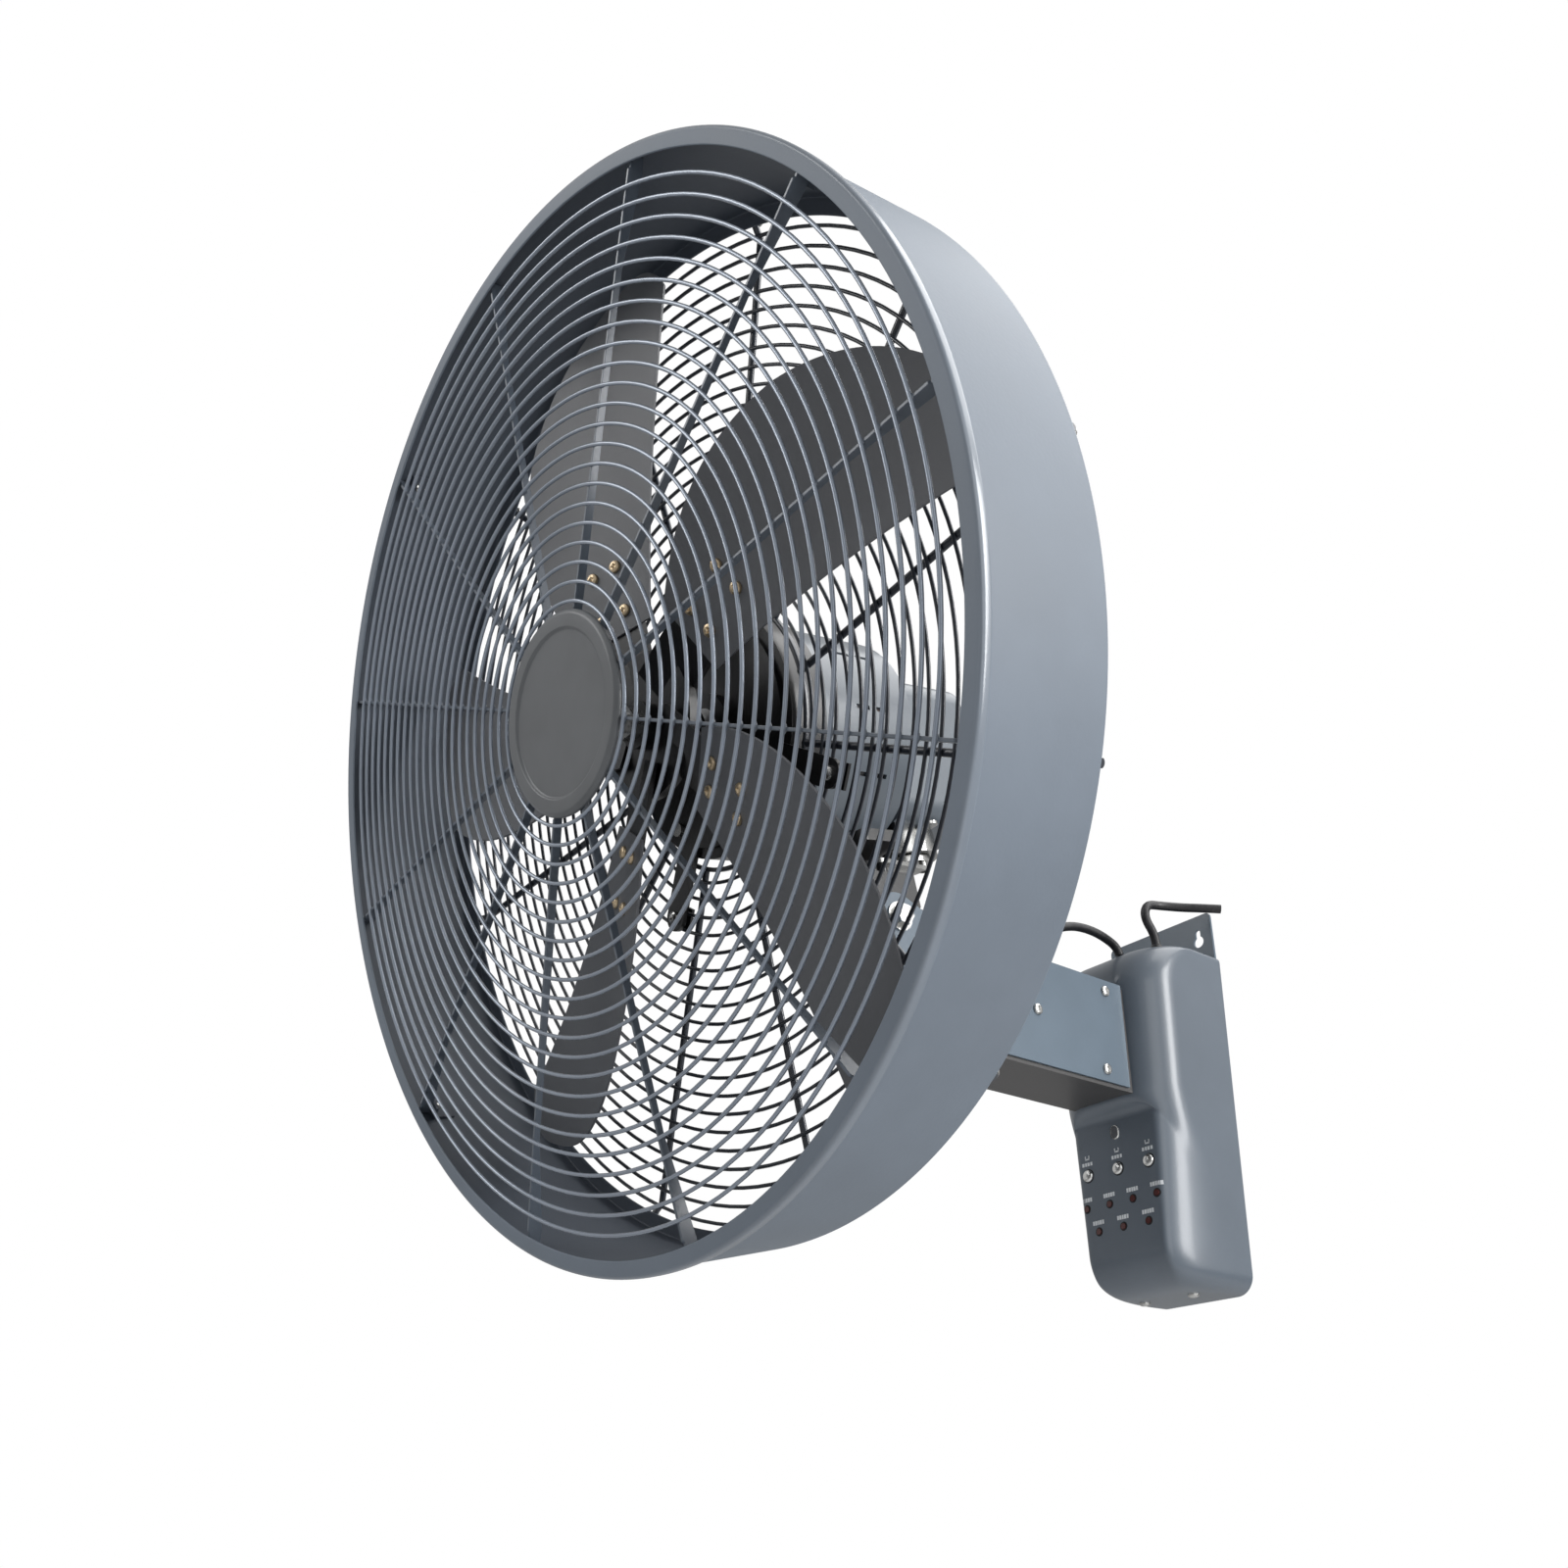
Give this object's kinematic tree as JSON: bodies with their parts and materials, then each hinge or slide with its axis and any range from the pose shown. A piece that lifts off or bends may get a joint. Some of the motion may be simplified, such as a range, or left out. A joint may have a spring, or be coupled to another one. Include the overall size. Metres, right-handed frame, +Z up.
{
  "type": "wall mounted fan",
  "caption": "Wall mounted drum fan with wire guards, a bladed wheel on a motor, a tilting and swinging head, an arm and a wall control box.",
  "frame": {"origin": "midway between the two keyholes of the wall plate, on the plate's back face, which lies on the wall", "axes": "+X to the right seen from the front, +Y into the wall, +Z up; the fan stands out towards -Y"},
  "size_m": [0.65, 0.623, 0.6497],
  "materials": {
    "drum_paint": "satin",
    "arm_paint": "satin",
    "motor_paint": "satin",
    "guard_paint": "gloss",
    "blade_paint": "satin",
    "black_paint": "satin",
    "box_plastic": "gloss",
    "badge_plastic": "satin",
    "black_plastic": "matte",
    "bearing_plastic": "matte",
    "rubber_black": "matte",
    "screw_steel": "bright",
    "bearing_steel": "ground",
    "core_steel": "rough",
    "copper": "enamelled",
    "brass_screw": "plated",
    "button_chrome": "polished",
    "led_lens": "clear",
    "ir_lens": "gloss",
    "board": "matte"
  },
  "bodies": {
    "wall_arm": {"wall_plate": "arm_paint", "control_box": "box_plastic", "box_screws": "screw_steel", "arm_cover": "arm_paint", "arm_channel": "arm_paint", "arm_bolts": "screw_steel", "arm_screws": "screw_steel", "tilt_washers": "screw_steel", "tilt_bolt": "screw_steel", "tilt_nut": "screw_steel", "control_board": "board", "tact_switches": "black_plastic", "indicator_leds": "led_lens", "ir_window": "ir_lens", "board_screws": "screw_steel", "terminal_block": "black_plastic", "cord_grommets": "rubber_black", "supply_cord": "rubber_black", "motor_cord": "rubber_black"},
    "tilt_carrier": {"tilt_bracket": "black_paint", "swing_bush": "bearing_plastic", "cord_gland": "black_plastic"},
    "swing_head": {"neck": "black_paint", "swing_nut": "screw_steel", "swing_motor": "screw_steel", "gear_cover": "motor_paint", "cover_screws": "screw_steel", "motor_cup": "motor_paint", "motor_front_bell": "black_paint", "stator_core": "core_steel", "stator_coils": "copper", "front_bearing": "bearing_steel", "rear_bearing": "bearing_steel", "tie_bolts": "screw_steel", "guard_straps": "black_paint", "guard_clamps": "black_paint", "clamp_screws": "screw_steel", "rear_guard": "guard_paint", "rear_guard_screws": "screw_steel", "drum_shroud": "drum_paint", "front_guard": "guard_paint", "guard_brackets": "drum_paint", "guard_screws": "screw_steel", "badge": "badge_plastic", "badge_screws": "screw_steel"},
    "blade_wheel": {"blade_1": "blade_paint", "blade_2": "blade_paint", "blade_3": "blade_paint", "blade_4": "blade_paint", "blade_5": "blade_paint", "hub_spider": "black_paint", "blade_screws": "brass_screw", "hub_nut": "screw_steel", "motor_shaft": "bearing_steel", "rotor": "core_steel"},
    "crank": {"swing_crank": "screw_steel"},
    "link": {"swing_link": "screw_steel"},
    "power_key": {"power_button": "button_chrome"},
    "speed_key": {"speed_button": "button_chrome"},
    "swing_key": {"swing_button": "button_chrome"}
  },
  "joints": [
    {"name": "tilt", "type": "hinge", "parent": "wall_arm", "child": "tilt_carrier", "pos_m": [0, -0.31749, -0.06275], "axis": [1, 0, 0], "range_deg": [-14, 16], "deforming": ["motor_cord"]},
    {"name": "swing", "type": "hinge", "parent": "tilt_carrier", "child": "swing_head", "pos_m": [0, -0.32523, -0.0317], "axis": [0, -0.2419, 0.9703], "range_deg": [-45, 45]},
    {"name": "blade_spin", "type": "hinge", "parent": "swing_head", "child": "blade_wheel", "pos_m": [0, -0.543, 0.015], "axis": [0, -0.9703, -0.2419], "continuous": true},
    {"name": "crank_turn", "type": "hinge", "parent": "swing_head", "child": "crank", "pos_m": [0, -0.28399, -0.00699], "axis": [0, -0.2419, 0.9703], "range_deg": [-98, 98]},
    {"name": "link_turn", "type": "hinge", "parent": "tilt_carrier", "child": "link", "pos_m": [0.024, -0.32717, -0.02394], "axis": [0, -0.2419, 0.9703], "range_deg": [-38, 38]},
    {"name": "power_press", "type": "slide", "parent": "wall_arm", "child": "power_key", "axis": [0, 1, 0], "range_m": [0, 0.0012], "stiffness_N_per_m": 700, "springref_m": -0.0008},
    {"name": "speed_press", "type": "slide", "parent": "wall_arm", "child": "speed_key", "axis": [0, 1, 0], "range_m": [0, 0.0012], "stiffness_N_per_m": 700, "springref_m": -0.0008},
    {"name": "swing_press", "type": "slide", "parent": "wall_arm", "child": "swing_key", "axis": [0, 1, 0], "range_m": [0, 0.0012], "stiffness_N_per_m": 700, "springref_m": -0.0008}
  ],
  "couplings": [
    {"joint": "crank_turn", "follows": "swing", "ratio": -2.17},
    {"joint": "link_turn", "follows": "swing", "ratio": 0.83}
  ]
}
